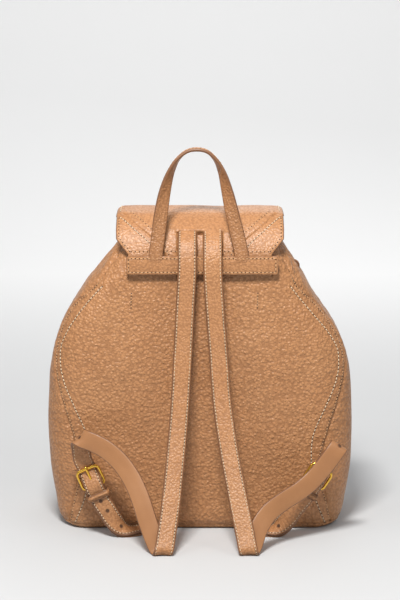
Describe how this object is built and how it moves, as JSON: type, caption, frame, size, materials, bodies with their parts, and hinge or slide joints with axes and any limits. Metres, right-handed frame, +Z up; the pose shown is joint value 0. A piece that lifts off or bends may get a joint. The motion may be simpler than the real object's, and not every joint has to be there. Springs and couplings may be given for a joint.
{
  "type": "leather flap backpack",
  "caption": "Leather drawstring backpack with a fold-over flap, a top handle and buckled shoulder straps resting on the ground.",
  "frame": {"origin": "centre of the flat base of the bag", "axes": "+Z up, -Y out of the worn back side where the straps are, +Y out of the front"},
  "size_m": [0.3, 0.2363, 0.3675],
  "materials": {
    "leather": "pebbled tan leather",
    "strap_leather": "tan strap leather with cream stitching",
    "cloth": "plain woven cotton lining",
    "board": "plain stiff board",
    "cord": "twisted waxed cord",
    "gold_metal": "polished gold plating"
  },
  "bodies": {
    "bag": {"base_panel": "leather", "back_panel": "leather", "front_panel": "leather", "side_gusset_left": "leather", "side_gusset_right": "leather", "neck_binding": "leather", "back_bar": "leather", "handle_ends": "strap_leather", "flap_yoke": "leather", "base_stiffener": "board", "lining": "cloth", "inner_pocket": "cloth", "inner_pocket_hem": "cloth", "drawstring_channel": "cloth", "drawstring": "cord", "drawstring_tips": "gold_metal", "eyelets": "gold_metal", "snap_socket": "gold_metal", "side_loop": "strap_leather"},
    "flap": {"flap_main": "leather", "flap_lining": "cloth", "snap_stud": "gold_metal"},
    "handle": {"top_handle": "strap_leather"},
    "cord_slider": {"drawstring_slider": "strap_leather"},
    "strap_left": {"shoulder_strap_left": "strap_leather", "lower_strap_left": "strap_leather", "buckle_frame_left": "gold_metal", "keeper_loop_left": "strap_leather"},
    "prong_left": {"buckle_prong_left": "gold_metal"},
    "strap_right": {"shoulder_strap_right": "strap_leather", "lower_strap_right": "strap_leather", "buckle_frame_right": "gold_metal", "keeper_loop_right": "strap_leather"},
    "prong_right": {"buckle_prong_right": "gold_metal"}
  },
  "joints": [
    {"name": "flap_fold", "type": "hinge", "parent": "bag", "child": "flap", "pos_m": [0, -0.041, 0.307], "axis": [1, 0, 0], "range_deg": [0, 95]},
    {"name": "handle_fold", "type": "hinge", "parent": "bag", "child": "handle", "pos_m": [0, -0.0762, 0.2687], "axis": [1, 0, 0], "range_deg": [-2, 95]},
    {"name": "strap_left_swing", "type": "hinge", "parent": "bag", "child": "strap_left", "pos_m": [-0.012, -0.0695, 0.2865], "axis": [0.133, 0.0157, 0.991], "range_deg": [-7, 7]},
    {"name": "strap_right_swing", "type": "hinge", "parent": "bag", "child": "strap_right", "pos_m": [0.012, -0.0695, 0.2865], "axis": [-0.133, 0.0157, 0.991], "range_deg": [-7, 7]},
    {"name": "prong_left_lift", "type": "hinge", "parent": "strap_left", "child": "prong_left", "pos_m": [-0.1003, -0.0926, 0.0497], "axis": [0.9181, 0, 0.3964], "range_deg": [0, 12]},
    {"name": "prong_right_lift", "type": "hinge", "parent": "strap_right", "child": "prong_right", "pos_m": [0.1069, -0.0926, 0.0518], "axis": [0.8439, 0, -0.5365], "range_deg": [0, 12]},
    {"name": "cord_slider_slide", "type": "slide", "parent": "bag", "child": "cord_slider", "axis": [0, 0.4395, -0.8982], "range_m": [-0.006, 0.006]}
  ]
}
